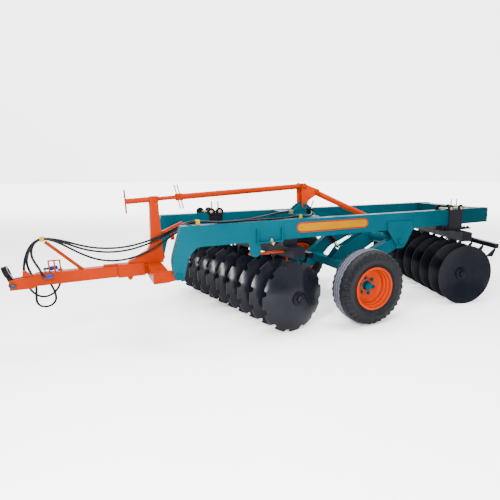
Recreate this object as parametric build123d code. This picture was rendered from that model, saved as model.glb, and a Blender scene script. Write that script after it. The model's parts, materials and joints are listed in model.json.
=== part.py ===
from build123d import *
import math
import os

os.makedirs("parts", exist_ok=True)

# Trailed offset disc harrow on two transport wheels, in millimetres.
# X runs forward to the hitch, Y to the left, Z up from the floor that wheels and discs stand on.
# Until the last step X is counted from the wheel axle and Y from the middle of the frame.

# Fits
seat_gap = 0.3
pin_gap = 0.5
side_gap = 5.0
shaft_gap = 1.0

# Disc gangs stand on the floor, and the beams, the rails and the drawbar over them follow their size
disc_r = 340.0
disc_to_beam = 34.0
gang_beam_height = 100.0
seat_height = 64.0
gang_beam_top = 2 * disc_r + disc_to_beam + gang_beam_height

# Frame rails and cross beams
rail_front = 1697.0
rail_rear = -2005.0
rail_height = 180.0
rail_bottom = gang_beam_top + seat_height
rail_top = rail_bottom + rail_height
rail_width = 100.0
frame_half = 560.0
nose_front = 1793.0
hinge_z = rail_bottom - 228.0
nose_bottom = hinge_z - 38.0
nose_tip_width = 62.0
beam_width = 150.0
mid_beam_front = 480.0
rear_beam_front = -1755.0
rail_inner = frame_half - rail_width

# Axle frame on its pivot
pivot_x = -590.0
pivot_z = rail_bottom - 133.0
pivot_pin_r = 22.0
pivot_boss_r = 70.0
pivot_tube_r = 58.0
pivot_plate = 16.0
arm_width = 84.0
arm_front_x = -20.0
cross_tube_x = -70.0
cross_tube_z = pivot_z - 283.0
cross_tube_size = 90.0
spindle_r = 32.0

# Wheels
wheel_r = 379.0
wheel_y = 812.0
tyre_half = 135.0
tyre_shoulder = 112.0
tread_drop = 14.0
rim_r = 202.0
rim_lip_r = 214.0
rim_half = 108.0
rim_disc_y = -34.0
rim_step = 13.0
rim_wall = 8.0
hub_r = 62.0
hub_cap_r = 42.0
hub_length = 84.0
hub_cap_length = 56.0

# Disc gangs
disc_dish = 84.0
disc_wall = 6.0
disc_flat_r = 70.0
disc_spacing = 225.0
disc_count = 10
notch_count = 12
notch_r = 28.0
gang_shaft_r = 22.0
spool_r = 42.0
spool_flange_r = 68.0
spool_flange = 12.0
end_washer = 14.0
end_nut_r = 34.0
end_nut = 34.0
housing_r = 78.0
housing_length = 90.0
hanger_spaces = (1, 4, 7)
hanger_wall = 32.0
hanger_side = 70.0

# Gang beams above the discs
gang_beam_x = -46.0
gang_beam_width = 130.0
scraper_bar_x = -372.0
scraper_bar_z = gang_beam_top - 152.0
scraper_bar_size = 52.0
scraper_reach = 95.0
scraper_width = 90.0
scraper_wall = 6.0
scraper_gap = 8.0

# One row per gang: name, near disc x and y, angle in degrees, side the discs bulge to, plain or
# notched, beam's reach past the near disc and past the far disc, scraper bar's reach past the near
# disc, first disc that has a scraper
gangs = (
    dict(
        name="front", x=750.0, y=643.0, angle=11.3, bulge=1, notched=True,
        near=54.0, far=-60.0, bar_near=-180.0, first_scraper=1,
    ),
    dict(
        name="rear", x=-1309.0, y=884.0, angle=-15.2, bulge=-1, notched=False,
        near=-90.0, far=40.0, bar_near=18.0, first_scraper=0,
    ),
)

# Drawbar on its pivot between the noses
hinge_x = 1743.0
hinge_pin_r = 20.0
yoke_front = 1932.0
yoke_rear = 1806.0
yoke_top = hinge_z + 30.0
yoke_height = 102.0
ear_wall = 24.0
tongue_half = 45.0
tongue_height = 100.0
tongue_top = hinge_z + 33.0
tongue_bottom = tongue_top - tongue_height
tongue_step = 2790.0
tongue_tip = 2945.0
sleeve_front = 2165.0
sleeve_rear = 1950.0
sleeve_wall = 8.0
mast_top = rail_top + 217.0
mast_front = 1852.0
mast_width = 68.0
mast_half = 38.0
mast_slot_half = 26.0
strip_front = 2275.0
strip_height = 14.0
strip_rear = 2166.0

# Tow eye on the front bolt
tow_x = 2922.0
tow_z = tongue_top - 77.0
tow_bolt_r = 17.0
tow_length = 114.0
tow_hole_r = 27.0
tow_ring_r = 48.0
tow_half = 20.0
tow_thick = 36.0
tow_lean = 16.0

# Levelling linkage
rocker_x = 320.0
rocker_z = rail_top + 82.0
rocker_front_dx = 5.0
rocker_front_dz = 203.0
rocker_rear_dx = -150.0
rocker_rear_dz = 140.0
link_pin_r = 15.0
link_eye_r = 30.0
rocker_wall = 12.0
tower_wall = 12.0
tower_half = 52.0
rod_x = 1803.0
rod_z = rail_top + 196.0
rod_r = 27.0
screw_r = 18.0
rod_tube_end = 1610.0
rod_sleeve_end = 2040.0
handle_r = 7.0
handle_half = 104.0
strut_r = 31.0

# Lift cylinder from the axle lug up to the tower
lug_x = -170.0
lug_z = pivot_z - 135.0
cylinder_x = 272.0
cylinder_z = rail_top + 44.0
cylinder_pin_r = 12.5
barrel_r = 36.0
barrel_length = 528.0
cylinder_rod_r = 19.0
cylinder_eye_r = 40.0
eye_drift = 14.0
lug_half = 52.0


def block(x, y, z):
    """Box between low and high values on each axis."""
    size = [high - low for low, high in (x, y, z)]
    middle = [(high + low) / 2 for low, high in (x, y, z)]
    return Pos(*middle) * Box(*size)


def round_bar(start, end, radius):
    """Round bar between two points."""
    a = Vector(*start)
    b = Vector(*end)
    plane = Plane(origin=a, z_dir=b - a)
    return extrude(plane * Circle(radius), (b - a).length)


def cross_pin(x, z, radius, y_low, y_high):
    """Round bar along Y."""
    return round_bar((x, y_low, z), (x, y_high, z), radius)


def side_plate(points, y_low, y_high, radii=None):
    """Plate whose outline lies in the XZ plane, with a radius for each corner."""
    plane = Plane(origin=(0, y_high, 0), x_dir=(1, 0, 0), z_dir=(0, -1, 0))
    if radii is None:
        outline = Polyline(*points, close=True)
    else:
        outline = FilletPolyline(*points, radius=radii, close=True)
    return extrude(plane * make_face(outline), y_high - y_low)


def both_sides(make):
    """The same piece on the left and on the right."""
    left = make(1)
    return left, mirror(left, about=Plane.XZ)


def joined(*pieces):
    """One solid from pieces that overlap."""
    result = pieces[0]
    for piece in pieces[1:]:
        result = result + piece
    return result


def group(*pieces):
    """Like pieces of one body that don't touch each other, as one node."""
    return Compound([solid for piece in pieces for solid in piece.solids()])


def link_plate(a, b, radius_a, radius_b, y_low, y_high):
    """Flat link with round ends between two points given as (x, z)."""
    run = Vector(b[0] - a[0], b[1] - a[1])
    turn = math.degrees(math.atan2(run.Y, run.X))
    offset = math.degrees(math.asin((radius_a - radius_b) / run.length))
    points = []
    for centre, radius, side in ((a, radius_a, 1), (b, radius_b, 1), (b, radius_b, -1), (a, radius_a, -1)):
        angle = math.radians(turn + side * (90 - offset))
        points.append((centre[0] + radius * math.cos(angle), centre[1] + radius * math.sin(angle)))
    web = side_plate(points, y_low, y_high)
    return web + cross_pin(a[0], a[1], radius_a, y_low, y_high) + cross_pin(b[0], b[1], radius_b, y_low, y_high)


def ring_section(points, centre, axis_turn=0):
    """Solid of revolution about an axis along Y; points are (radius, y) pairs."""
    outline = make_face(Polyline(*[(r, y) for r, y in points], close=True))
    return Pos(*centre) * revolve(outline, Axis.Y)


nodes = {}


# Frame
def rail(side):
    nose = [
        (rail_rear, rail_bottom),
        (rail_rear, rail_top),
        (rail_front, rail_top),
        (nose_front, hinge_z + 120),
        (hinge_x + 28, nose_bottom),
        (hinge_x - 34, nose_bottom),
        (hinge_x - 88, hinge_z + 150),
        (hinge_x - 160, rail_bottom),
    ]
    radii = [0, 0, 12, 300, 20, 20, 90, 60]
    body = side_plate(nose, rail_inner, frame_half, radii)
    return body - cross_pin(hinge_x, hinge_z, hinge_pin_r + pin_gap, rail_inner - 1, frame_half + 1)


nodes["rail_left"], nodes["rail_right"] = both_sides(rail)

nodes["rear_beam"] = block(
    (rear_beam_front - beam_width, rear_beam_front),
    (-rail_inner, rail_inner),
    (rail_bottom, rail_top),
)
nodes["mid_beam"] = block(
    (mid_beam_front - beam_width, mid_beam_front),
    (-rail_inner, rail_inner),
    (rail_bottom, rail_top),
)

# Tower: two plates on the middle beam that carry the rocker and the top of the cylinder
tower_outline = [
    (mid_beam_front + 22, rail_top),
    (rocker_x + 52, rocker_z + 16),
    (rocker_x - 20, rocker_z + 36),
    (cylinder_x - 40, cylinder_z + 10),
    (cylinder_x - 30, cylinder_z - 40),
    (mid_beam_front - beam_width, rail_top),
]
tower_radii = [0, 20, 30, 25, 20, 0]


def tower_plate(side):
    return side_plate(tower_outline, tower_half - tower_wall, tower_half, tower_radii)


head_low = tower_half + side_gap + rocker_wall + seat_gap
head_high = head_low + 8
rocker_pin = cross_pin(rocker_x, rocker_z, link_pin_r, -head_high, head_high)
rocker_head = cross_pin(rocker_x, rocker_z, link_pin_r + 8, head_low, head_high)
rocker_pin = joined(rocker_pin, rocker_head, mirror(rocker_head, about=Plane.XZ))
cylinder_pin = cross_pin(cylinder_x, cylinder_z, cylinder_pin_r, -tower_half - 4, tower_half + 4)
tower_left, tower_right = both_sides(tower_plate)
nodes["tower"] = joined(tower_left, tower_right, rocker_pin, cylinder_pin)

# Pivot plates of the axle frame: outer plate on the rail's side, inner plate on its other side
outer_plate = [
    (-410, rail_top - 88),
    (-760, rail_top - 93),
    (-775, rail_bottom),
    (-690, pivot_z - 10),
    (-640, pivot_z - 75),
    (-560, pivot_z - 75),
    (-500, pivot_z + 15),
    (-420, rail_bottom),
]
plate_radii = [0, 0, 0, 60, 40, 40, 60, 0]
arm_outer = frame_half - (rail_width - arm_width) / 2
arm_inner = arm_outer - arm_width


def pivot_bracket(side):
    outer = side_plate(outer_plate, frame_half, frame_half + pivot_plate, plate_radii)
    pin = cross_pin(pivot_x, pivot_z, pivot_pin_r, arm_inner + 10, frame_half + pivot_plate + 14)
    return outer + pin


def pivot_bearing(side):
    inner = side_plate(outer_plate, rail_inner - pivot_plate, rail_inner, plate_radii)
    collar = cross_pin(pivot_x, pivot_z, pivot_tube_r + 18, rail_inner - pivot_plate, rail_inner)
    bore = cross_pin(pivot_x, pivot_z, pivot_tube_r + pin_gap, rail_inner - pivot_plate - 1, rail_inner + 1)
    return inner + collar - bore


nodes["pivot_brackets"] = group(*both_sides(pivot_bracket), *both_sides(pivot_bearing))

# Axle frame: arms under the rails, pivot tube, cross tube, middle arm with lever and lug
arm_outline = [
    (pivot_x, pivot_z + pivot_boss_r - 4),
    (-240, pivot_z - 55),
    (arm_front_x + 14, cross_tube_z + 58),
    (arm_front_x + 66, wheel_r + 30),
    (arm_front_x + 56, wheel_r - 52),
    (arm_front_x - 40, wheel_r - 52),
    (-300, pivot_z - 185),
    (pivot_x, pivot_z - pivot_boss_r + 4),
]
arm_radii = [0, 200, 60, 30, 30, 60, 200, 0]


def axle_arm(side):
    arm = side_plate(arm_outline, arm_inner, arm_outer, arm_radii)
    boss = cross_pin(pivot_x, pivot_z, pivot_boss_r, arm_inner, arm_outer)
    bore = cross_pin(pivot_x, pivot_z, pivot_pin_r + pin_gap, arm_inner + 4, arm_outer + 1)
    spindle = cross_pin(0, wheel_r, spindle_r, arm_outer - 20, wheel_y + rim_disc_y - side_gap)
    flange = cross_pin(0, wheel_r, spindle_r + 22, arm_outer, arm_outer + 14)
    return joined(arm, boss, spindle, flange) - bore


tube_end = arm_inner
pivot_tube = cross_pin(pivot_x, pivot_z, pivot_tube_r, -tube_end, tube_end)
cross_tube = block(
    (cross_tube_x - cross_tube_size / 2, cross_tube_x + cross_tube_size / 2),
    (-arm_inner, arm_inner),
    (cross_tube_z - cross_tube_size / 2, cross_tube_z + cross_tube_size / 2),
)
lever_x = pivot_x + rocker_rear_dx
lever_z = pivot_z + rocker_rear_dz


def middle_arm(side):
    outline = [
        (pivot_x - 40, pivot_z + 70),
        (pivot_x + 60, pivot_z + 70),
        (lug_x - 20, lug_z + 44),
        (lug_x + 40, lug_z + 30),
        (cross_tube_x + 40, cross_tube_z + 60),
        (cross_tube_x + 40, cross_tube_z - 40),
        (cross_tube_x - 60, cross_tube_z - 40),
        (pivot_x - 40, pivot_z - 66),
    ]
    arm = side_plate(outline, lug_half, lug_half + 14, [30, 0, 20, 20, 20, 0, 0, 30])
    lever = link_plate((pivot_x, pivot_z), (lever_x, lever_z), 60, link_eye_r + 6, lug_half, lug_half + 14)
    return arm + lever


middle_left, middle_right = both_sides(middle_arm)
lever_pin = cross_pin(lever_x, lever_z, link_pin_r, -lug_half - 20, lug_half + 20)
lug_pin = cross_pin(lug_x, lug_z, cylinder_pin_r, -lug_half - 20, lug_half + 20)
nodes["axle_arms"] = group(*both_sides(axle_arm))
nodes["axle_pivot_tube"] = joined(pivot_tube, middle_left, middle_right, lever_pin, lug_pin) - cross_tube
nodes["axle_cross_tube"] = cross_tube


# Wheels
def tyre(side):
    section = [
        (rim_r, -rim_half),
        (rim_lip_r + 3, -rim_half),
        (rim_r + 40, -tyre_half + 8),
        (rim_r + 88, -tyre_half),
        (wheel_r - 44, -tyre_half + 8),
        (wheel_r - tread_drop, -tyre_shoulder),
        (wheel_r - 4, -tyre_shoulder * 0.6),
        (wheel_r, 0),
        (wheel_r - 4, tyre_shoulder * 0.6),
        (wheel_r - tread_drop, tyre_shoulder),
        (wheel_r - 44, tyre_half - 8),
        (rim_r + 88, tyre_half),
        (rim_r + 40, tyre_half - 8),
        (rim_lip_r + 3, rim_half),
        (rim_r, rim_half),
    ]
    return ring_section(section, (0, wheel_y, wheel_r))


def rim(side):
    lip = rim_half + 8
    section = [
        (rim_r - rim_wall, -lip),
        (rim_lip_r, -lip),
        (rim_lip_r, -rim_half - seat_gap),
        (rim_r - seat_gap, -rim_half - seat_gap),
        (rim_r - seat_gap, rim_half + seat_gap),
        (rim_lip_r, rim_half + seat_gap),
        (rim_lip_r, lip),
        (rim_r - rim_wall, lip),
        (rim_r - rim_wall, lip - 32),
        (rim_r - rim_wall - rim_step, lip - 46),
        (rim_r - rim_wall - rim_step, lip - 72),
        (rim_r - rim_wall - 2 * rim_step, lip - 86),
        (rim_r - rim_wall - 2 * rim_step, rim_disc_y + 32),
        (rim_r - 60, rim_disc_y + 18),
        (hub_r + 34, rim_disc_y + 14),
        (hub_r + 10, rim_disc_y),
        (spindle_r + pin_gap, rim_disc_y),
        (spindle_r + pin_gap, rim_disc_y - rim_wall),
        (hub_r + 14, rim_disc_y - rim_wall),
        (hub_r + 38, rim_disc_y + 14 - rim_wall),
        (rim_r - 62, rim_disc_y + 8),
        (rim_r - rim_wall - 12, rim_disc_y + 14),
        (rim_r - rim_wall, rim_disc_y),
    ]
    return ring_section(section, (0, wheel_y, wheel_r))


def hub(side):
    back = rim_disc_y - rim_wall - hub_length
    section = [
        (spindle_r + pin_gap, back),
        (hub_r, back),
        (hub_r, rim_disc_y - rim_wall - 18),
        (hub_r + 18, rim_disc_y - rim_wall - 18),
        (hub_r + 18, rim_disc_y - rim_wall),
        (spindle_r + pin_gap, rim_disc_y - rim_wall),
    ]
    cap = [
        (0, rim_disc_y),
        (hub_cap_r + 8, rim_disc_y),
        (hub_cap_r, rim_disc_y + 10),
        (hub_cap_r, rim_disc_y + hub_cap_length - 10),
        (hub_cap_r - 10, rim_disc_y + hub_cap_length),
        (0, rim_disc_y + hub_cap_length),
    ]
    centre = (0, wheel_y, wheel_r)
    return ring_section(section, centre), ring_section(cap, centre)


nodes["tyre_left"], nodes["tyre_right"] = both_sides(tyre)
nodes["rim_left"], nodes["rim_right"] = both_sides(rim)
nodes["hub_left"] = group(*hub(1))
nodes["hub_right"] = group(*[mirror(piece, about=Plane.XZ) for piece in hub(1)])


# Disc gangs, each made along its own Y axis with the near disc's rim plane at 0
dish_centre = (disc_flat_r**2 + disc_dish**2 - disc_r**2) / (2 * disc_dish)
dish_r = math.hypot(disc_r, dish_centre)


def dish_at(radius, extra=0.0):
    """Height of the disc's surface over its rim plane at a radius."""
    return dish_centre + math.sqrt((dish_r + extra) ** 2 - radius**2)


def disc_solid(bulge, notched):
    bore = gang_shaft_r + seat_gap
    middle = (disc_flat_r + disc_r) / 2
    top = disc_dish + disc_wall
    lines = Polyline((disc_flat_r, disc_dish), (bore, disc_dish), (bore, top), (disc_flat_r, top))
    outer = ThreePointArc(
        (disc_flat_r, top),
        (middle, dish_at(middle, disc_wall)),
        (disc_r, dish_at(disc_r, disc_wall)),
    )
    inner = ThreePointArc((disc_r, 0), (middle, dish_at(middle)), (disc_flat_r, disc_dish))
    edge = Line((disc_r, dish_at(disc_r, disc_wall)), (disc_r, 0))
    body = revolve(make_face([*lines.edges(), outer, edge, inner]), Axis.Y)
    if notched:
        for index in range(notch_count):
            turn = (index + 0.5) * 360 / notch_count
            notch = Rot(0, turn, 0) * Pos(0, 10, -disc_r) * Rot(90, 0, 0) * Cylinder(notch_r, 60)
            body = body - notch
    if bulge < 0:
        body = mirror(body, about=Plane.XZ)
    return body


def shaft_solid(bulge):
    """Shaft with a spool in each space and a washer and nut at each end."""
    profile = []
    last = -(disc_count - 1) * disc_spacing
    flat_low = disc_dish if bulge > 0 else -disc_dish - disc_wall
    far_face = last + flat_low
    near_face = flat_low + disc_wall
    profile.append((0, far_face - end_washer - end_nut))
    profile.append((end_nut_r, far_face - end_washer - end_nut))
    profile.append((end_nut_r, far_face - end_washer))
    profile.append((spool_flange_r, far_face - end_washer))
    profile.append((spool_flange_r, far_face))
    profile.append((gang_shaft_r, far_face))
    for index in range(disc_count - 1, 0, -1):
        low = -index * disc_spacing + flat_low + disc_wall
        high = -(index - 1) * disc_spacing + flat_low
        profile.append((gang_shaft_r, low))
        profile.append((spool_flange_r, low))
        profile.append((spool_flange_r, low + spool_flange))
        profile.append((spool_r, low + spool_flange))
        profile.append((spool_r, high - spool_flange))
        profile.append((spool_flange_r, high - spool_flange))
        profile.append((spool_flange_r, high))
        profile.append((gang_shaft_r, high))
    profile.append((gang_shaft_r, near_face))
    profile.append((spool_flange_r, near_face))
    profile.append((spool_flange_r, near_face + end_washer))
    profile.append((end_nut_r, near_face + end_washer))
    profile.append((end_nut_r, near_face + end_washer + end_nut))
    profile.append((0, near_face + end_washer + end_nut))
    return revolve(make_face(Polyline(*profile, close=True)), Axis.Y)


def hanger_y(space, bulge):
    """Middle of the hanger that stands in a space between two discs."""
    return -(space + 0.5) * disc_spacing + bulge * (disc_dish / 2)


beam_bottom = gang_beam_top - gang_beam_height
beam_rear = gang_beam_x - gang_beam_width / 2
beam_front = gang_beam_x + gang_beam_width / 2


def hanger_solid(y):
    """Plate from the beam down to a round bearing housing."""
    outline = [
        (beam_rear + 10, beam_bottom),
        (beam_front - 10, beam_bottom),
        (48, disc_r + 60),
        (30, disc_r),
        (-30, disc_r),
        (-70, disc_r + 90),
    ]
    plate = side_plate(outline, y - hanger_wall / 2, y + hanger_wall / 2)
    housing = cross_pin(0, disc_r, housing_r, y - housing_length / 2, y + housing_length / 2)
    foot = block((beam_rear, beam_front), (y - 50, y + 50), (beam_bottom - 16, beam_bottom))
    bore = cross_pin(0, disc_r, spool_r + shaft_gap, y - housing_length, y + housing_length)
    return joined(plate, housing, foot) - bore


def scraper_solid(y, bulge):
    """Blade beside a disc's hollow side, on a short shank from the bar."""
    low, high = sorted((y - bulge * scraper_gap, y - bulge * (scraper_gap + scraper_wall)))
    bar_front = scraper_bar_x + scraper_bar_size / 2
    bar_low = scraper_bar_z - scraper_bar_size / 2
    outline = [
        (bar_front - 16, bar_low),
        (bar_front - 16, bar_low - 24),
        (bar_front + 18, bar_low - scraper_reach),
        (bar_front + 18 + scraper_width, bar_low - scraper_reach + 6),
        (bar_front + 16, bar_low - 10),
        (bar_front, bar_low),
    ]
    return side_plate(outline, low, high)


gang_places = {}
for row in gangs:
    name = row["name"]
    bulge = row["bulge"]
    place = Location((row["x"], row["y"], 0), (0, 0, row["angle"]))
    raised = place * Pos(0, 0, disc_r)
    gang_places[name] = place
    one_disc = disc_solid(bulge, row["notched"])
    discs = [raised * Pos(0, -index * disc_spacing, 0) * one_disc for index in range(disc_count)]
    nodes[f"{name}_discs"] = group(*discs)
    nodes[f"{name}_shaft"] = raised * shaft_solid(bulge)
    far_end = -(disc_count - 1) * disc_spacing - row["far"]
    beam = block((beam_rear, beam_front), (far_end, row["near"]), (beam_bottom, gang_beam_top))
    nodes[f"{name}_gang_beam"] = place * beam
    hangers = [hanger_solid(hanger_y(space, bulge)) for space in hanger_spaces]
    nodes[f"{name}_hangers"] = group(*[place * hanger for hanger in hangers])
    bar_ends = (-(disc_count - 1) * disc_spacing - 60, row["bar_near"])
    half_bar = scraper_bar_size / 2
    bar = block(
        (scraper_bar_x - half_bar, scraper_bar_x + half_bar),
        bar_ends,
        (scraper_bar_z - half_bar, scraper_bar_z + half_bar),
    )
    for space in hanger_spaces:
        y = hanger_y(space, bulge)
        arm_shape = [
            (beam_rear, gang_beam_top - 20),
            (beam_rear, gang_beam_top - 70),
            (scraper_bar_x, scraper_bar_z - 10),
            (scraper_bar_x, scraper_bar_z + 14),
        ]
        bar = bar + side_plate(arm_shape, y - 8, y + 8)
    nodes[f"{name}_scraper_bar"] = place * bar
    bladed = range(row["first_scraper"], disc_count)
    blades = [scraper_solid(-index * disc_spacing, bulge) for index in bladed]
    nodes[f"{name}_scrapers"] = group(*[place * blade for blade in blades])

# Seats and clamps between the rails and the gang beams
clamp_wall = 12.0
base_plate = 14.0
ear_r = 42.0
bolt_r = 10.0
bolt_z = rail_top + bolt_r + 4
clamp_skew = 88.0
stud_r = 7.0
stud_top = rail_top + 120.0


def beam_x_at(row, y):
    """X of a gang beam's middle line at a given Y."""
    turn = math.radians(row["angle"])
    along = (y - row["y"] - gang_beam_x * math.sin(turn)) / math.cos(turn)
    return row["x"] + gang_beam_x * math.cos(turn) - along * math.sin(turn)


def rail_clamp(row, side):
    """Base plate, saddle and a plate up each side of the rail, the one on the right set forward."""
    y_left, y_right = (frame_half, rail_inner) if side > 0 else (-rail_inner, -frame_half)
    plate_z = (gang_beam_top + base_plate, rail_top)
    x_low, x_high = row["plate"]
    left = block((x_low, x_high), (y_left, y_left + clamp_wall), plate_z)
    right = block((x_low + clamp_skew, x_high + clamp_skew), (y_right - clamp_wall, y_right), plate_z)
    for x in row["ears"]:
        left = left + cross_pin(x, bolt_z, ear_r, y_left, y_left + clamp_wall)
        right = right + cross_pin(x + clamp_skew, bolt_z, ear_r, y_right - clamp_wall, y_right)
    base = block(row["base"], (y_right - 40, y_left + 30), (gang_beam_top, gang_beam_top + base_plate))
    saddle = block((x_low, x_high + clamp_skew), (y_right, y_left), (gang_beam_top + base_plate, rail_bottom))
    bolts = []
    for x in row["ears"]:
        tips = ((x, y_left + clamp_wall + 14, bolt_z), (x + clamp_skew, y_right - clamp_wall - 14, bolt_z))
        bolts.append(round_bar(*tips, bolt_r))
    for x in row["studs"]:
        middle = (y_left + y_right) / 2
        bolts.append(round_bar((x, middle, rail_top), (x, middle, stud_top), stud_r))
    clamp = joined(left, right, base, saddle)
    for bolt in bolts:
        clamp = clamp - bolt
    return clamp, bolts


front_row, rear_row = gangs
rail_middle = (rail_inner + frame_half) / 2
rear_clamp = dict(plate=(-1546, -1326), ears=(-1506, -1342), base=(-1690, -1238), studs=(-1495, -1406))
front_clamp = dict(
    plate=(1072, 1214), ears=(1098, 1190), studs=(1096, 1166),
    base=(beam_x_at(front_row, -rail_middle) - 60, 1302),
)
clamp_rear, bolts_rear = rail_clamp(rear_clamp, 1)
clamp_front, bolts_front = rail_clamp(front_clamp, -1)
nodes["rail_clamps"] = group(clamp_rear, clamp_front)
nodes["clamp_bolts"] = group(*bolts_rear, *bolts_front)

seat_length = 150.0


def seat(row, side):
    x = beam_x_at(row, side * rail_middle)
    return block(
        (x - seat_length / 2, x + seat_length / 2),
        sorted((side * rail_inner, side * frame_half)),
        (gang_beam_top, rail_bottom),
    )


nodes["beam_seats"] = group(seat(front_row, 1), seat(rear_row, -1))

# Angle setting bracket under the left rail and its slotted plate
bracket = block((1021, 1125), (frame_half - 14, frame_half), (rail_bottom - 86, rail_bottom))
bracket = bracket + cross_pin(1073, rail_bottom - 86, 52, frame_half - 14, frame_half)
bracket = bracket + block((1021, 1125), (rail_inner, frame_half), (rail_bottom - 12, rail_bottom))
for x in (1053, 815):
    bracket = bracket + block((x - 6, x + 6), (frame_half, frame_half + 26), (rail_bottom - 12, rail_bottom + 116))
bracket = bracket + block((809, 1059), (frame_half - 60, frame_half + 30), (rail_bottom - 12, rail_bottom))
plate_z = rail_bottom - 122.0
slot_plate = block((beam_x_at(front_row, 500), 1118), (frame_half - 74, frame_half - 14), (plate_z, plate_z + 12))
slot_plate = slot_plate - nodes["front_gang_beam"]
slot_plate = slot_plate - block((860, 1040), (frame_half - 52, frame_half - 34), (plate_z - 6, plate_z + 18))
slot_plate = slot_plate + block((1040, 1118), (frame_half - 14 - 30, frame_half - 14), (plate_z + 12, plate_z + 24))
nodes["angle_bracket"] = bracket
nodes["slot_plate"] = slot_plate


# Drawbar
def yoke_ear(side):
    outline = [
        (hinge_x - 44, hinge_z - 36),
        (hinge_x - 44, hinge_z + 30),
        (yoke_rear, yoke_top),
        (yoke_rear + 40, yoke_top),
        (yoke_rear + 40, yoke_top - yoke_height),
        (hinge_x, hinge_z - 60),
    ]
    top = rail_inner - side_gap
    plate = side_plate(outline, top - ear_wall, top, [30, 30, 0, 0, 0, 30])
    bore = cross_pin(hinge_x, hinge_z, hinge_pin_r + pin_gap, top - ear_wall - 1, top + 1)
    return plate - bore


ear_left, ear_right = both_sides(yoke_ear)
yoke_end = rail_inner - side_gap
yoke = block((yoke_rear, yoke_front), (-yoke_end, yoke_end), (yoke_top - yoke_height, yoke_top))
nodes["drawbar_yoke"] = joined(yoke, ear_left, ear_right)


def hinge_pin(side):
    inner = rail_inner - side_gap - ear_wall - 12
    pin = cross_pin(hinge_x, hinge_z, hinge_pin_r, inner, frame_half + 8)
    head = cross_pin(hinge_x, hinge_z, hinge_pin_r + 6, frame_half + seat_gap, frame_half + 8)
    return pin + head


pin_left, pin_right = both_sides(hinge_pin)
nodes["hinge_pins"] = group(pin_left, pin_right)

tongue_outline = [
    (yoke_front, tongue_bottom),
    (yoke_front, tongue_top),
    (tongue_step - 30, tongue_top),
    (tongue_step, tongue_top - 14),
    (tongue_tip, tongue_top - 34),
    (tongue_tip, tongue_bottom - 15),
    (tongue_step, tongue_bottom - 15),
    (tongue_step - 30, tongue_bottom),
]
tongue = side_plate(tongue_outline, -tongue_half, tongue_half)
mouth = 2 * tow_half + 2 * side_gap
tongue = tongue - block((tow_x - 75, tongue_tip + 1), (-mouth / 2, mouth / 2), (tongue_bottom - 83, tongue_top + 17))
tongue = tongue - cross_pin(tow_x, tow_z, tow_bolt_r + pin_gap, -tongue_half - 1, tongue_half + 1)
sleeve = block(
    (sleeve_rear, sleeve_front),
    (-tongue_half - sleeve_wall, tongue_half + sleeve_wall),
    (tongue_bottom - sleeve_wall, tongue_top + sleeve_wall),
)
strip = block((strip_rear, strip_front), (-26, 26), (tongue_top, tongue_top + strip_height))
nodes["drawbar_tongue"] = joined(tongue, sleeve, strip)

hitch_bolt = cross_pin(tow_x, tow_z, tow_bolt_r, -tongue_half - 12, tongue_half + 12)
bolt_head = cross_pin(tow_x, tow_z, tow_bolt_r + 4, tongue_half + seat_gap, tongue_half + 16)
hitch_bolt = hitch_bolt + bolt_head + mirror(bolt_head, about=Plane.XZ)
nodes["hitch_bolt"] = hitch_bolt

# Tow eye, folded up on the hitch bolt; unfolded its hole stands upright
tow_shank = cross_pin(0, 0, tow_bolt_r + 15, -tow_half, tow_half)
tow_shank = tow_shank + block((-tow_thick / 2, tow_thick / 2), (-tow_half, tow_half), (0, tow_length))
tow_ring = round_bar((-tow_thick / 2, 0, tow_length), (tow_thick / 2, 0, tow_length), tow_ring_r)
tow_eye = tow_shank + tow_ring
tow_eye = tow_eye - round_bar((-tow_thick, 0, tow_length), (tow_thick, 0, tow_length), tow_hole_r)
tow_eye = tow_eye - cross_pin(0, 0, tow_bolt_r + pin_gap, -tow_half - 1, tow_half + 1)
nodes["tow_eye"] = Pos(tow_x, 0, tow_z) * Rot(0, tow_lean, 0) * tow_eye

# Mast on the yoke
mast_outline = [
    (mast_front - mast_width, mast_top),
    (mast_front, mast_top),
    (mast_front + 24, yoke_top + 180),
    (mast_front + 60, yoke_top + 112),
    (sleeve_front - 90, tongue_top + sleeve_wall + 14),
    (sleeve_front - 90, tongue_top + sleeve_wall),
    (yoke_front, tongue_top + sleeve_wall),
    (yoke_front, yoke_top),
    (yoke_rear - 26, yoke_top),
]
mast = side_plate(mast_outline, -mast_half, mast_half, [8, 8, 120, 30, 4, 0, 0, 0, 0])
mast = mast - block(
    (mast_front - mast_width - 1, mast_front + 30),
    (-mast_slot_half - seat_gap, mast_slot_half + seat_gap),
    (rod_z - 60, mast_top + 1),
)
for y in (mast_half, -mast_half - 10):
    mast = mast + cross_pin(rod_x + 8, rod_z, 16, y, y + 10)
nodes["mast"] = mast

support_top = tongue_top + 262.0
support_r = 14.0
support = round_bar((2420, 0, tongue_top - 20), (2672, 0, support_top - 9), support_r) - tongue
nodes["hose_support"] = support

# Rocker on the tower
rocker_front = (rocker_x + rocker_front_dx, rocker_z + rocker_front_dz)
rocker_rear = (rocker_x + rocker_rear_dx, rocker_z + rocker_rear_dz)
rocker_low = tower_half + side_gap
rocker_high = rocker_low + rocker_wall


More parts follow.
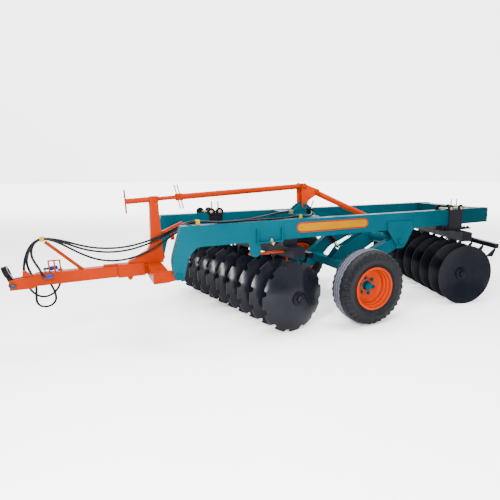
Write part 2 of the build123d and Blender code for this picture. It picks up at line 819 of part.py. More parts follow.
def rocker_plate(side):
    outline = [
        (rocker_x + 30, rocker_z),
        (rocker_front[0] + 26, rocker_front[1]),
        (rocker_front[0] + 16, rocker_front[1] + 24),
        (rocker_front[0] - 10, rocker_front[1] + 24),
        (rocker_rear[0] - 12, rocker_rear[1] + 28),
        (rocker_rear[0] - 28, rocker_rear[1]),
        (rocker_rear[0], rocker_rear[1] - 28),
        (rocker_x - 40, rocker_z + 50),
        (rocker_x - 30, rocker_z),
    ]
    plate = side_plate(outline, rocker_low, rocker_high, [0, 18, 12, 12, 14, 18, 20, 60, 0])
    plate = plate + cross_pin(rocker_x, rocker_z, link_eye_r, rocker_low, rocker_high)
    return plate - cross_pin(rocker_x, rocker_z, link_pin_r + pin_gap, rocker_low - 1, rocker_high + 1)


rocker_left, rocker_right = both_sides(rocker_plate)
front_pin = cross_pin(rocker_front[0], rocker_front[1], link_pin_r, -rocker_high - 12, rocker_high + 12)
rear_pin = cross_pin(rocker_rear[0], rocker_rear[1], link_pin_r, -rocker_high - 12, rocker_high + 12)
nodes["rocker"] = joined(rocker_left, front_pin, rear_pin, rocker_right)

# Front rod from the rocker to the mast, with its screw, sleeve and handle
rod_run = Vector(rod_x - rocker_front[0], 0, rod_z - rocker_front[1])
rod_way = rod_run.normalized()


def on_rod(x):
    """Point of the rod's middle line at a given X."""
    share = (x - rocker_front[0]) / rod_run.X
    return (x, 0, rocker_front[1] + share * rod_run.Z)


eye_half = mast_slot_half
rod_eye = cross_pin(rocker_front[0], rocker_front[1], link_eye_r, -eye_half, eye_half)
rod_tube = round_bar(on_rod(rocker_front[0] + 12), on_rod(rod_tube_end), rod_r)
rod_eye = rod_eye + rod_tube - cross_pin(rocker_front[0], rocker_front[1], link_pin_r + pin_gap, -60, 60)
rod_screw = round_bar(on_rod(rod_tube_end - 20), on_rod(rod_sleeve_end + 10), screw_r)
rod_block = block((rod_x - 26, rod_x + 42), (-mast_slot_half + seat_gap, mast_slot_half - seat_gap), (rod_z - 26, rod_z + 26))
rod_sleeve = round_bar(on_rod(rod_x + 20), on_rod(rod_sleeve_end), screw_r + 6)
handle_place = on_rod(rod_sleeve_end + 8)
handle = round_bar(
    (handle_place[0], 0, handle_place[2] - handle_half),
    (handle_place[0], 0, handle_place[2] + handle_half),
    handle_r,
)
nodes["rod_screw"] = joined(rod_screw, rod_block, rod_sleeve, handle) - round_bar(
    on_rod(rod_tube_end - 40), on_rod(rod_tube_end), rod_r
)
bars = []
for offset in (0, 26):
    foot = on_rod(1590 - offset)
    bars.append(round_bar((foot[0] + 2, rod_r + 6, foot[2] - 108), (foot[0] + 46, rod_r + 6, foot[2] + 112), 5))
clip = round_bar(on_rod(1560), on_rod(1625), rod_r + 5) - round_bar(on_rod(1550), on_rod(1635), rod_r)
nodes["front_rod"] = joined(rod_eye, clip, *bars)

# Rear strut from the rocker to the lever
strut_a = (rocker_rear[0], 0, rocker_rear[1])
strut_b = (lever_x, 0, lever_z)
strut_eye = lug_half - side_gap
strut = round_bar(strut_a, strut_b, strut_r)
top_eye = rocker_low - side_gap
strut = strut + cross_pin(strut_a[0], strut_a[2], link_eye_r, -top_eye, top_eye)
strut = strut + cross_pin(strut_b[0], strut_b[2], link_eye_r, -strut_eye, strut_eye)
strut = strut - cross_pin(strut_a[0], strut_a[2], link_pin_r + pin_gap, -60, 60)
strut = strut - cross_pin(strut_b[0], strut_b[2], link_pin_r + pin_gap, -60, 60)
nodes["rear_strut"] = strut

# Lift cylinder: barrel on the tower's pin, rod eye on the axle's lug pin, wide for its drift
cylinder_way = Vector(lug_x - cylinder_x, 0, lug_z - cylinder_z)
cylinder_length = cylinder_way.length
cylinder_dir = cylinder_way.normalized()


def on_cylinder(distance):
    """Point of the cylinder's middle line at a distance from its upper pin."""
    point = Vector(cylinder_x, 0, cylinder_z) + cylinder_dir * distance
    return (point.X, point.Y, point.Z)


barrel_half = tower_half - tower_wall - side_gap / 2
barrel_top = cylinder_pin_r + 14
barrel = round_bar(on_cylinder(74), on_cylinder(barrel_length), barrel_r)
barrel = barrel + round_bar(on_cylinder(barrel_length - 34), on_cylinder(barrel_length), barrel_r + 5)
barrel = barrel + round_bar(on_cylinder(8), on_cylinder(80), barrel_half - 4)
barrel = barrel + cross_pin(cylinder_x, cylinder_z, barrel_top, -barrel_half, barrel_half)
barrel = barrel - cross_pin(cylinder_x, cylinder_z, cylinder_pin_r + pin_gap, -60, 60)
barrel = barrel - round_bar(on_cylinder(110), on_cylinder(barrel_length + 1), cylinder_rod_r + shaft_gap)
nodes["cylinder_barrel"] = barrel
rod_eye_half = lug_half - side_gap
piston = round_bar(on_cylinder(180), on_cylinder(cylinder_length - 20), cylinder_rod_r)
piston = piston + cross_pin(lug_x, lug_z, cylinder_eye_r, -rod_eye_half + 14, rod_eye_half - 14)
piston = piston - cross_pin(lug_x, lug_z, cylinder_pin_r + eye_drift, -60, 60)
nodes["cylinder_rod"] = piston

# Valve beside the tower with its lever
valve_depth = 46.0
valve = block((238, 290), (tower_half, tower_half + valve_depth), (rail_top + 10, rail_top + 46))
valve = valve + round_bar((264, tower_half + 32, rail_top + 40), (238, tower_half + 52, rail_top + 124), 5)
valve = valve + Pos(236, tower_half + 53, rail_top + 128) * Sphere(9)
valve = valve - cross_pin(cylinder_x, cylinder_z, cylinder_pin_r + seat_gap, 0, tower_half + 5)
nodes["valve"] = valve

# Blank oval badge on the left rail and the hose clips on its inner edge
badge_outline = SlotOverall(820, 96)
badge_plane = Plane(origin=(247, frame_half, rail_top - 79), x_dir=(1, 0, 0.0), z_dir=(0, 1, 0))
nodes["badge"] = extrude(badge_plane * badge_outline, 2)

# Hose guide behind the mast, with the hanger under it
guide = side_plate(
    [
        (1796, rail_top - 153),
        (1796, rail_top - 103),
        (1752, rail_top - 90),
        (1594, rail_top - 22),
        (1576, rail_top - 28),
        (1568, rail_top - 52),
        (1748, rail_top - 132),
    ],
    -20,
    20,
    [0, 0, 40, 10, 10, 10, 40],
)
guide = guide + block((1660, 1694), (-20, -12), (rail_top - 190, rail_top - 93)) - mast
nodes["hose_guide"] = guide

# Ramp bracket on the tongue, front of the coupler holder
ramp_low = tongue_top - 15
ramp_high = tongue_top + 29
ramp = side_plate([(2800, ramp_low), (2852, ramp_low), (2847, ramp_high), (2838, ramp_high)], -38, 38)
wire_r = 6.0
holder_y = 38.0
holder_rear = 2588.0
holder_front = 2666.0
holder_top = tongue_top + 99.0
wires = []
for x in (holder_rear, (holder_rear + holder_front) / 2, holder_front):
    wires.append(round_bar((x, holder_y, tongue_top - 6), (x, holder_y, holder_top), wire_r))
wires.append(round_bar((holder_rear - wire_r, holder_y, holder_top), (holder_front + wire_r, holder_y, holder_top), wire_r))
nodes["coupler_holder"] = group(ramp - tongue, joined(*wires) - tongue)

# Hydraulic hoses
hose_r = 6.0
hose_split = 9.0
clip_x = 1550.0
clip_half = 16.0
stub_r = 7.5
stub_length = 5.0
routes = {
    "hose_a": [
        (1616, 380, 1068), (1622, 285, 1047),
        (1648, 175, 1013), (1700, 94, 973), (1762, 62, 938), (1841, 54, 905), (1943, 46, 873),
        (2042, 34, 850), (2146, 24, 840), (2247, 18, 844), (2344, 14, 860), (2436, 12, 890),
        (2518, 10, 925), (2599, 8, 953), (2688, 6, 968), (2730, 4, 950), (2767, -2, 918),
        (2798, -10, 869), (2822, -24, 813), (2839, -42, 753), (2848, -56, 692), (2847, -64, 626),
        (2834, -64, 560), (2808, -62, 507), (2774, -60, 474), (2734, -60, 460), (2687, -62, 470),
        (2645, -64, 503), (2614, -66, 552), (2599, -66, 602),
    ],
    "hose_b": [
        (1623, 380, 1052), (1629, 298, 1030),
        (1656, 183, 995), (1704, 96, 955), (1764, 64, 918), (1842, 54, 883), (1945, 42, 844),
        (2044, 26, 817), (2149, 12, 804), (2250, 4, 809), (2347, -1, 829), (2439, -4, 862),
        (2521, -7, 906), (2601, -9, 946), (2686, -9, 966), (2735, -13, 943), (2768, -20, 905),
        (2795, -31, 858), (2814, -45, 804), (2821, -57, 748), (2811, -65, 694), (2795, -70, 645),
        (2782, -70, 595), (2782, -59, 544), (2788, -47, 492), (2794, -44, 440), (2785, -46, 405),
        (2760, -52, 380), (2725, -62, 371), (2690, -73, 380), (2665, -83, 405), (2656, -88, 440),
        (2660, -88, 486), (2671, -82, 532), (2688, -74, 583), (2700, -66, 625), (2704, -60, 666),
    ],
    "hose_c": [
        (1659, 403, 1022), (1665, 310, 997), (1684, 195, 958), (1720, 112, 915), (1768, 68, 872),
        (1839, 56, 825), (1927, 54, 782), (2029, 52, 748), (2135, 44, 730), (2236, 36, 735),
        (2332, 28, 762), (2423, 24, 812), (2500, 22, 868), (2565, 22, 916), (2626, 22, 951),
        (2686, 22, 966), (2733, 24, 944), (2757, 26, 910), (2769, 30, 872), (2771, 36, 830),
        (2759, 46, 789), (2741, 56, 749), (2723, 64, 709), (2713, 66, 668),
    ],
    "hose_rail_a": [
        (1614, 389, 1070), (1610, 425, 1075), (1588, 456, 1081), (1554, 474, 1085),
        (1510, 474, 1084), (1462, 474, 1076), (1400, 475, 1069), (1320, 474, 1067), (1240, 468, 1068), (1150, 462, 1070), (1070, 446, 1074), (980, 372, 1075), (885, 284, 1074),
        (790, 196, 1074), (700, 126, 1075), (625, 86, 1080), (565, 76, 1084), (511, 76, 1086),
    ],
    "hose_rail_b": [
        (1622, 389, 1054), (1616, 434, 1063), (1590, 471, 1073), (1549, 492, 1082),
        (1500, 494, 1082), (1452, 494, 1075), (1396, 495, 1069), (1320, 494, 1067),
        (1200, 489, 1067), (1080, 486, 1068), (960, 490, 1068), (840, 488, 1067), (720, 480, 1069),
        (640, 474, 1076), (575, 470, 1079), (515, 452, 1074), (455, 410, 1070), (402, 350, 1069),
        (360, 285, 1069), (325, 225, 1071), (300, 180, 1077), (284, 142, 1082),
        (272, tower_half + valve_depth + stub_length, 1084),
    ],
}


def hose(points):
    """Tube through the points, with an arc at each one as large as its two runs allow."""
    vectors = [Vector(*point) for point in points]
    radii = []
    for before, here, after in zip(vectors, vectors[1:], vectors[2:]):
        turn = math.radians((here - before).get_angle(after - here))
        shorter = min((here - before).length, (after - here).length)
        radii.append(0.45 * shorter / math.tan(turn / 2))
    path = FilletPolyline(*points, radius=radii)
    start = Plane(origin=vectors[0], z_dir=vectors[1] - vectors[0])
    tube = sweep(start * Circle(hose_r), path=path)
    share = tube.volume / (math.pi * hose_r**2 * path.length)
    print("hose radii", [round(radius) for radius in radii], "length", round(path.length), "share", round(share, 4))
    return tube


hoses = {name: hose(points) for name, points in routes.items()}
nodes.update(hoses)

def stub(name, end, reach, gap=0.0):
    """Short nipple in line with a hose's first or last point, face to face with it or a gap off it."""
    points = routes[name] if end == 0 else routes[name][::-1]
    way = (Vector(*points[0]) - Vector(*points[1])).normalized()
    face = Vector(*points[0]) + way * gap
    tip = face + way * reach
    return round_bar((face.X, face.Y, face.Z), (tip.X, tip.Y, tip.Z), stub_r)


# Clips that hold the hoses on the rail and on the support rod, and fittings where they end
end_clip = block((clip_x - clip_half, clip_x + clip_half), (rail_inner - 2, rail_inner + 46), (rail_top, rail_top + 40))
end_clip = end_clip - hoses["hose_rail_a"] - hoses["hose_rail_b"]
ring_clip = block((561, 589), (rail_inner + 1, rail_inner + 23), (rail_top, rail_top + 34))
ring_clip = ring_clip - hoses["hose_rail_b"]
nodes["hose_clips"] = group(end_clip, ring_clip)
support_clip = block((2672, 2702), (-19, 32), (support_top - 3, support_top + 34))
for name in ("hose_a", "hose_b", "hose_c"):
    support_clip = support_clip - hoses[name]
nodes["support_clip"] = support_clip - support
front_fitting = block((468, 506), (tower_half + 8, tower_half + 40), (rail_top, rail_top + 42))
front_fitting = front_fitting + stub("hose_rail_a", 1, 20)
rail_fitting = stub("hose_c", 0, 80, hose_split) - nodes["rail_left"]
nodes["hose_fittings"] = group(front_fitting, rail_fitting.solids().sort_by(Axis.X)[-1])
nodes["valve"] = valve + stub("hose_rail_b", 1, 12)

# Couplers at the hoses' ends: a body each, and a cap on each body
coupler_rows = (
    dict(hose="hose_b", bend=(2706, -59, 700), neck=(2668, -24, 707), end=(2616, 4, 716)),
    dict(hose="hose_c", bend=(2709, 67, 646), neck=(2684, 70, 654), end=(2648, 72, 666)),
    dict(hose="hose_a", bend=(2598, -67, 628), neck=(2598, -67, 650), end=(2598, -67, 690)),
)
coupler_r = 11.0
cap_r = 18.0
bodies = []
caps = []
for row in coupler_rows:
    face = routes[row["hose"]][-1]
    tail = stub(row["hose"], 1, 12)
    body = joined(
        tail,
        round_bar(face, row["bend"], stub_r - 3),
        Pos(*row["bend"]) * Sphere(coupler_r),
        round_bar(row["bend"], row["neck"], coupler_r - 1),
    )
    body = body - hoses[row["hose"]] - nodes["drawbar_tongue"]
    bodies.append(body)
    caps.append(round_bar(row["neck"], row["end"], cap_r) - body)
nodes["couplers"] = group(*bodies)
nodes["coupler_caps"] = group(*caps)

# The part's own origin: the middle of its footprint
low = Vector(1e9, 1e9, 1e9)
high = Vector(-1e9, -1e9, -1e9)
for shape in nodes.values():
    box = shape.bounding_box()
    low = Vector(min(low.X, box.min.X), min(low.Y, box.min.Y), min(low.Z, box.min.Z))
    high = Vector(max(high.X, box.max.X), max(high.Y, box.max.Y), max(high.Z, box.max.Z))
shift = (-(low.X + high.X) / 2, -(low.Y + high.Y) / 2, 0)
print("box", low, high, "shift", shift)

for name, shape in nodes.items():
    export_step(Pos(*shift) * shape, f"parts/{name}.step")
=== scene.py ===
import json
import math

import bmesh
import bpy
from mathutils import Matrix, Vector


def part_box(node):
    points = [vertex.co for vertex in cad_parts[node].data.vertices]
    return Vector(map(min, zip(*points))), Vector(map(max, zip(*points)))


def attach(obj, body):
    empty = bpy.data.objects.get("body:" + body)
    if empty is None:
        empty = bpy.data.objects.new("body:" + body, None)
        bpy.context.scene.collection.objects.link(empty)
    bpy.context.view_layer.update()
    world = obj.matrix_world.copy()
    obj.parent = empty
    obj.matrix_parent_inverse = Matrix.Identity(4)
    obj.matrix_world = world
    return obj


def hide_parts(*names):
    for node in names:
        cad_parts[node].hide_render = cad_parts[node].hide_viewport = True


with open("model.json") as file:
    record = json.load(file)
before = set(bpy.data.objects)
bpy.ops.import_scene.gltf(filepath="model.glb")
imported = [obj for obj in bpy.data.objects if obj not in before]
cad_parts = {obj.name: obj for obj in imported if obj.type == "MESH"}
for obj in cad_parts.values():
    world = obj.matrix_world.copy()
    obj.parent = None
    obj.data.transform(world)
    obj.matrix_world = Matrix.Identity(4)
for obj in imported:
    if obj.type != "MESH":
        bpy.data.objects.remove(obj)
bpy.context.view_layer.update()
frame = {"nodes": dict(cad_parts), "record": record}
nodes = frame["nodes"]

# Wheels, in millimetres: half their track and their radius
WHEEL_Y = 812
WHEEL_R = 379

# Where the wheel axle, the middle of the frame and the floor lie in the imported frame
tyre_low, tyre_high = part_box("tyre_left")
SHIFT = Vector(((tyre_low[0] + tyre_high[0]) / 2, (tyre_low[1] + tyre_high[1]) / 2 - WHEEL_Y / 1000, 0.0))


def at(x, y, z):
    """Point given in millimetres from the wheel axle, the frame's middle and the floor."""
    return Vector((x, y, z)) / 1000 + SHIFT


# Camera, at the photo's place: turned about X and Z in degrees, lens and sensor in millimetres
CAMERA_PLACE = (2339.15, 4031.20, 1499.58)
CAMERA_TILT = 77.35
CAMERA_TURN = 149.80
CAMERA_LENS = 29.589
CAMERA_SENSOR = 36.0
CAMERA_SHIFT = (-0.1559, 0.0268)
camera_data = bpy.data.cameras.new("camera")
camera = bpy.data.objects.new("camera", camera_data)
bpy.context.scene.collection.objects.link(camera)
camera.location = at(*CAMERA_PLACE)
camera.rotation_euler = (math.radians(CAMERA_TILT), 0, math.radians(CAMERA_TURN))
camera_data.lens = CAMERA_LENS
camera_data.sensor_width = CAMERA_SENSOR
camera_data.shift_x, camera_data.shift_y = CAMERA_SHIFT
bpy.context.scene.camera = camera

# Hoses: the routes that their solids follow, and the radius that they are drawn with, in millimetres
HOSE_R = 9.0
ROUTES = {
    "hose_a": [
        (1616, 380, 1068), (1622, 285, 1047),
        (1648, 175, 1013), (1700, 94, 973), (1762, 62, 938), (1841, 54, 905), (1943, 46, 873),
        (2042, 34, 850), (2146, 24, 840), (2247, 18, 844), (2344, 14, 860), (2436, 12, 890),
        (2518, 10, 925), (2599, 8, 953), (2688, 6, 968), (2730, 4, 950), (2767, -2, 918),
        (2798, -10, 869), (2822, -24, 813), (2839, -42, 753), (2848, -56, 692), (2847, -64, 626),
        (2834, -64, 560), (2808, -62, 507), (2774, -60, 474), (2734, -60, 460), (2687, -62, 470),
        (2645, -64, 503), (2614, -66, 552), (2599, -66, 602),
    ],
    "hose_b": [
        (1623, 380, 1052), (1629, 298, 1030),
        (1656, 183, 995), (1704, 96, 955), (1764, 64, 918), (1842, 54, 883), (1945, 42, 844),
        (2044, 26, 817), (2149, 12, 804), (2250, 4, 809), (2347, -1, 829), (2439, -4, 862),
        (2521, -7, 906), (2601, -9, 946), (2686, -9, 966), (2735, -13, 943), (2768, -20, 905),
        (2795, -31, 858), (2814, -45, 804), (2821, -57, 748), (2811, -65, 694), (2795, -70, 645),
        (2782, -70, 595), (2782, -59, 544), (2788, -47, 492), (2794, -44, 440), (2785, -46, 405),
        (2760, -52, 380), (2725, -62, 371), (2690, -73, 380), (2665, -83, 405), (2656, -88, 440),
        (2660, -88, 486), (2671, -82, 532), (2688, -74, 583), (2700, -66, 625), (2704, -60, 666),
    ],
    "hose_c": [
        (1659, 403, 1022), (1665, 310, 997), (1684, 195, 958), (1720, 112, 915), (1768, 68, 872),
        (1839, 56, 825), (1927, 54, 782), (2029, 52, 748), (2135, 44, 730), (2236, 36, 735),
        (2332, 28, 762), (2423, 24, 812), (2500, 22, 868), (2565, 22, 916), (2626, 22, 951),
        (2686, 22, 966), (2733, 24, 944), (2757, 26, 910), (2769, 30, 872), (2771, 36, 830),
        (2759, 46, 789), (2741, 56, 749), (2723, 64, 709), (2713, 66, 668),
    ],
    "hose_rail_a": [
        (1614, 389, 1070), (1610, 425, 1075), (1588, 456, 1081), (1554, 474, 1085),
        (1510, 474, 1084), (1462, 474, 1076), (1400, 475, 1069), (1320, 474, 1067), (1240, 468, 1068),
        (1150, 462, 1070), (1070, 446, 1074), (980, 372, 1075), (885, 284, 1074),
        (790, 196, 1074), (700, 126, 1075), (625, 86, 1080), (565, 76, 1084), (511, 76, 1086),
    ],
    "hose_rail_b": [
        (1622, 389, 1054), (1616, 434, 1063), (1590, 471, 1073), (1549, 492, 1082),
        (1500, 494, 1082), (1452, 494, 1075), (1396, 495, 1069), (1320, 494, 1067),
        (1200, 489, 1067), (1080, 486, 1068), (960, 490, 1068), (840, 488, 1067), (720, 480, 1069),
        (640, 474, 1076), (575, 470, 1079), (515, 452, 1074), (455, 410, 1070), (402, 350, 1069),
        (360, 285, 1069), (325, 225, 1071), (300, 180, 1077), (284, 142, 1082), (272, 103, 1084),
    ],
}
# Length in metres, what the far end goes to, body and lay
HOSE_FACTS = {
    "hose_a": (2.19, "connector", "drawbar", "loose"),
    "hose_b": (2.40, "connector", "drawbar", "loose"),
    "hose_c": (1.75, "connector", "drawbar", "loose"),
    "hose_rail_a": (1.29, "object", "frame", "loose"),
    "hose_rail_b": (1.61, "object", "frame", "loose"),
}


# Materials. Noise scales are cycles per metre; radii, bump heights and edges are metres
DRIFT_SCALE = 2.6
SPECK_SCALE = 38.0
UNEVEN_SCALE = 14.0
PEEL_SCALE = 240.0
PEEL_HEIGHT = 0.001
DUST_COLOUR = (0.07, 0.068, 0.06, 1.0)
STREAK_HEIGHT = 0.0006
BLOOM_SCALE = 9.0
GRAIN_HEIGHT = 0.0008
DISC_RING_SCALE = 260.0
DISC_RING_HEIGHT = 0.0012
DISC_PATCH_SCALE = 5.0
DISC_ROUNDING = 0.0015
DISC_DARK = (0.0026, 0.003, 0.0048)
DISC_PALE = (0.0046, 0.0052, 0.008)
DISC_BARE = (0.008, 0.0085, 0.011, 1.0)
# Radius at which bare steel starts to show and the share of it there, and how far that radius wanders
DISC_EDGE = ((0.3445, 0.0), (0.3475, 0.7))
DISC_EDGE_WANDER = 0.012
DISC_WANDER_SCALE = 30.0
BADGE_BORDER = 0.012
BADGE_EDGE = 0.001
BADGE_FADE_SCALE = 9.0
BADGE_YELLOW = (0.205, 0.09, 0.0)
BADGE_ORANGE = (0.185, 0.009, 0.0)


def new_material(name):
    material = bpy.data.materials.new(name)
    material.use_nodes = True
    tree = material.node_tree
    return material, tree, tree.nodes["Principled BSDF"]


def add(tree, kind, **values):
    """New shader node; values are its properties, or its sockets when they are named so."""
    node = tree.nodes.new(kind)
    for key, value in values.items():
        if key in node.inputs:
            node.inputs[key].default_value = value
        else:
            setattr(node, key, value)
    return node


def feed(tree, kind, sources, **values):
    """New shader node with each source in turn on its inputs: a socket is linked, a value is set."""
    node = add(tree, kind, **values)
    for place, source in zip(node.inputs, sources):
        if isinstance(source, bpy.types.NodeSocket):
            tree.links.new(source, place)
        else:
            place.default_value = source
    return node


def object_place(tree):
    return add(tree, "ShaderNodeTexCoord").outputs["Object"]


def noise(tree, coordinates, scale, detail=3.0, roughness=0.5):
    node = add(tree, "ShaderNodeTexNoise", Scale=scale, Detail=detail, Roughness=roughness)
    tree.links.new(coordinates, node.inputs["Vector"])
    return node.outputs["Fac"]


def ramp(tree, source, stops):
    """Colour that goes through the stops, each a position and a colour."""
    node = add(tree, "ShaderNodeValToRGB")
    tree.links.new(source, node.inputs["Fac"])
    elements = node.color_ramp.elements
    while len(elements) < len(stops):
        elements.new(0.5)
    for element, (position, colour) in zip(elements, stops):
        element.position = position
        element.color = (*colour, 1.0)
    return node.outputs["Color"]


def grey(value):
    return (value, value, value)


def grey_ramp(tree, source, stops):
    return ramp(tree, source, [(position, grey(value)) for position, value in stops])


def shade(colour, factor):
    """Colour made darker or paler by a factor."""
    return tuple(min(1.0, channel * factor) for channel in colour)


def maths(tree, operation, *sources):
    return feed(tree, "ShaderNodeMath", sources, operation=operation).outputs["Value"]


def vector_maths(tree, operation, *sources):
    return feed(tree, "ShaderNodeVectorMath", sources, operation=operation)


def mixed(tree, factor, first, second, blend_type="MIX"):
    """Colour mix: the factor, first and second are sockets or values."""
    node = add(tree, "ShaderNodeMix", data_type="RGBA", blend_type=blend_type)
    for number, source in ((0, factor), (6, first), (7, second)):
        if isinstance(source, bpy.types.NodeSocket):
            tree.links.new(source, node.inputs[number])
        else:
            node.inputs[number].default_value = source
    return node.outputs[2]


def ranged(tree, source, span, result, kind="LINEAR"):
    """Value that goes from result's first to its second as the source goes over the span."""
    node = add(tree, "ShaderNodeMapRange", interpolation_type=kind)
    tree.links.new(source, node.inputs["Value"])
    node.inputs["From Min"].default_value, node.inputs["From Max"].default_value = span
    node.inputs["To Min"].default_value, node.inputs["To Max"].default_value = result
    return node.outputs["Result"]


def split(tree, coordinates):
    return feed(tree, "ShaderNodeSeparateXYZ", [coordinates]).outputs


def distance_from_y(tree, parts):
    """Distance of a point from the Y axis."""
    flat = add(tree, "ShaderNodeCombineXYZ")
    tree.links.new(parts["X"], flat.inputs["X"])
    tree.links.new(parts["Z"], flat.inputs["Z"])
    return vector_maths(tree, "LENGTH", flat.outputs["Vector"]).outputs["Value"]


def bump(tree, height, strength, distance, normal=None):
    node = add(tree, "ShaderNodeBump", Strength=strength, Distance=distance)
    tree.links.new(height, node.inputs["Height"])
    if normal is not None:
        tree.links.new(normal, node.inputs["Normal"])
    return node.outputs["Normal"]


def soft_edges(tree, radius):
    return add(tree, "ShaderNodeBevel", samples=4, Radius=radius).outputs["Normal"]


def surface(tree, shader, colour, roughness, normal, **values):
    """Sockets for colour, roughness and normal, and values for the shader's other inputs."""
    tree.links.new(colour, shader.inputs["Base Color"])
    tree.links.new(roughness, shader.inputs["Roughness"])
    tree.links.new(normal, shader.inputs["Normal"])
    for key, value in values.items():
        shader.inputs[key.replace("_", " ")].default_value = value


def paint(
    name, colour, roughness=0.3, coat=0.015, edge=0.004, shine=0.012, dust=0.005, peel=0.05, fade_and_painted_shade=None
):
    """Sprayed gloss paint: slow colour drift, orange peel, thin dust and rounded edges.

    The last argument gives painted shade along x: (x of the dark end, x of the full colour, share of the
    colour left at the dark end).
    """
    material, tree, shader = new_material(name)
    place = object_place(tree)
    drift = noise(tree, place, DRIFT_SCALE, detail=4.0)
    base = ramp(tree, drift, [(0.3, shade(colour, 0.86)), (0.7, shade(colour, 1.08))])
    # Painted shade: the colour darkens along x towards one end
    if fade_and_painted_shade is not None:
        dark_x, full_x, share = fade_and_painted_shade
        left = ranged(tree, split(tree, place)["X"], (dark_x, full_x), (share, 1.0))
        painted_shade_colour = vector_maths(tree, "SCALE", base)
        tree.links.new(left, painted_shade_colour.inputs["Scale"])
        base = painted_shade_colour.outputs["Vector"]
    specks = noise(tree, place, SPECK_SCALE, detail=6.0, roughness=0.7)
    speck = grey_ramp(tree, specks, [(0.52, 0.0), (0.78, dust)])
    uneven = noise(tree, place, UNEVEN_SCALE, detail=5.0)
    rough = grey_ramp(tree, uneven, [(0.3, roughness * 0.75), (0.75, roughness * 1.6)])
    orange_peel = noise(tree, place, PEEL_SCALE, detail=2.0)
    surface(
        tree,
        shader,
        mixed(tree, speck, base, DUST_COLOUR),
        rough,
        bump(tree, orange_peel, peel, PEEL_HEIGHT, soft_edges(tree, edge)),
        Specular_IOR_Level=shine,
        Coat_Weight=coat,
        Coat_Roughness=0.06,
    )
    return material


def metal(name, colour, roughness, streak=80.0, edge=0.002):
    """Bare or plated metal with fine streaks and uneven shine."""
    material, tree, shader = new_material(name)
    place = object_place(tree)
    streaks = noise(tree, place, streak, detail=6.0, roughness=0.65)
    uneven = noise(tree, place, streak / 3, detail=4.0)
    surface(
        tree,
        shader,
        ramp(tree, streaks, [(0.3, shade(colour, 0.7)), (0.7, shade(colour, 1.15))]),
        grey_ramp(tree, uneven, [(0.3, roughness * 0.7), (0.7, roughness * 1.5)]),
        bump(tree, streaks, 0.15, STREAK_HEIGHT, soft_edges(tree, edge)),
        Metallic=1.0,
    )
    return material


def rubber(name, colour, roughness=0.5, grain=160.0, strength=0.2):
    """Black rubber with a fine grain and a dusty bloom."""
    material, tree, shader = new_material(name)
    place = object_place(tree)
    bloom = noise(tree, place, BLOOM_SCALE, detail=6.0, roughness=0.6)
    surface(
        tree,
        shader,
        ramp(tree, bloom, [(0.35, shade(colour, 0.7)), (0.75, shade(colour, 1.7))]),
        grey_ramp(tree, bloom, [(0.3, roughness * 0.85), (0.7, roughness * 1.25)]),
        bump(tree, noise(tree, place, grain, detail=4.0), strength, GRAIN_HEIGHT),
        Specular_IOR_Level=0.08,
    )
    return material


def disc_material(name, centre, angle, gloss):
    """Gloss black rolled disc: rings about the gang's axis, bare steel showing at the cutting edge."""
    material, tree, shader = new_material(name)
    mapping = add(tree, "ShaderNodeMapping", vector_type="TEXTURE", Location=centre)
    mapping.inputs["Rotation"].default_value = (0, 0, math.radians(angle))
    tree.links.new(object_place(tree), mapping.inputs["Vector"])
    place = mapping.outputs["Vector"]
    radius = distance_from_y(tree, split(tree, place))
    ring = feed(tree, "ShaderNodeCombineXYZ", [radius]).outputs["Vector"]
    rings = noise(tree, ring, DISC_RING_SCALE, detail=2.0)
    patch = noise(tree, place, DISC_PATCH_SCALE, detail=5.0)
    base = ramp(tree, patch, [(0.3, DISC_DARK), (0.75, DISC_PALE)])
    wander = noise(tree, place, DISC_WANDER_SCALE, detail=4.0)
    rim = grey_ramp(tree, maths(tree, "MULTIPLY_ADD", wander, DISC_EDGE_WANDER, radius), DISC_EDGE)
    surface(
        tree,
        shader,
        mixed(tree, rim, base, DISC_BARE),
        grey_ramp(tree, patch, [(0.3, 0.20), (0.7, 0.3)]),
        bump(tree, rings, 0.12, DISC_RING_HEIGHT, soft_edges(tree, DISC_ROUNDING)),
        Specular_IOR_Level=0.015,
        Coat_Weight=gloss,
        Coat_Roughness=0.16,
    )
    return material


def badge_material(name, centre, half_length, half_height):
    """Capsule with a yellow middle inside an orange border."""
    material, tree, shader = new_material(name)
    place = object_place(tree)
    move = vector_maths(tree, "SUBTRACT", place, centre).outputs["Vector"]
    size = vector_maths(tree, "ABSOLUTE", move).outputs["Vector"]
    straight = (half_length - half_height, 1.0, 0.0)
    inner = vector_maths(tree, "SUBTRACT", size, straight).outputs["Vector"]
    clamp = vector_maths(tree, "MAXIMUM", inner, (0.0, 0.0, 0.0)).outputs["Vector"]
    length = vector_maths(tree, "LENGTH", clamp).outputs["Value"]
    border = half_height - BADGE_BORDER
    stops = [
        (0.0, BADGE_YELLOW),
        (border - BADGE_EDGE, BADGE_YELLOW),
        (border, BADGE_ORANGE),
        (1.0, BADGE_ORANGE),
    ]
    faded = noise(tree, place, BADGE_FADE_SCALE, detail=4.0)
    fade_and_painted_shade = grey_ramp(tree, faded, [(0.3, 0.88), (0.7, 1.0)])
    colour = mixed(tree, 1.0, ramp(tree, length, stops), fade_and_painted_shade, "MULTIPLY")
    tree.links.new(colour, shader.inputs["Base Color"])
    shader.inputs["Roughness"].default_value = 0.5
    shader.inputs["Specular IOR Level"].default_value = 0.005
    return material


TEAL = (0.0, 0.037, 0.052)
ORANGE = (0.18, 0.0115, 0.0)
# Paler copy of the same orange: painted light for the rims, rocker and rear strut
ORANGE_WITH_PAINTED_LIGHT = (0.26, 0.0165, 0.0)
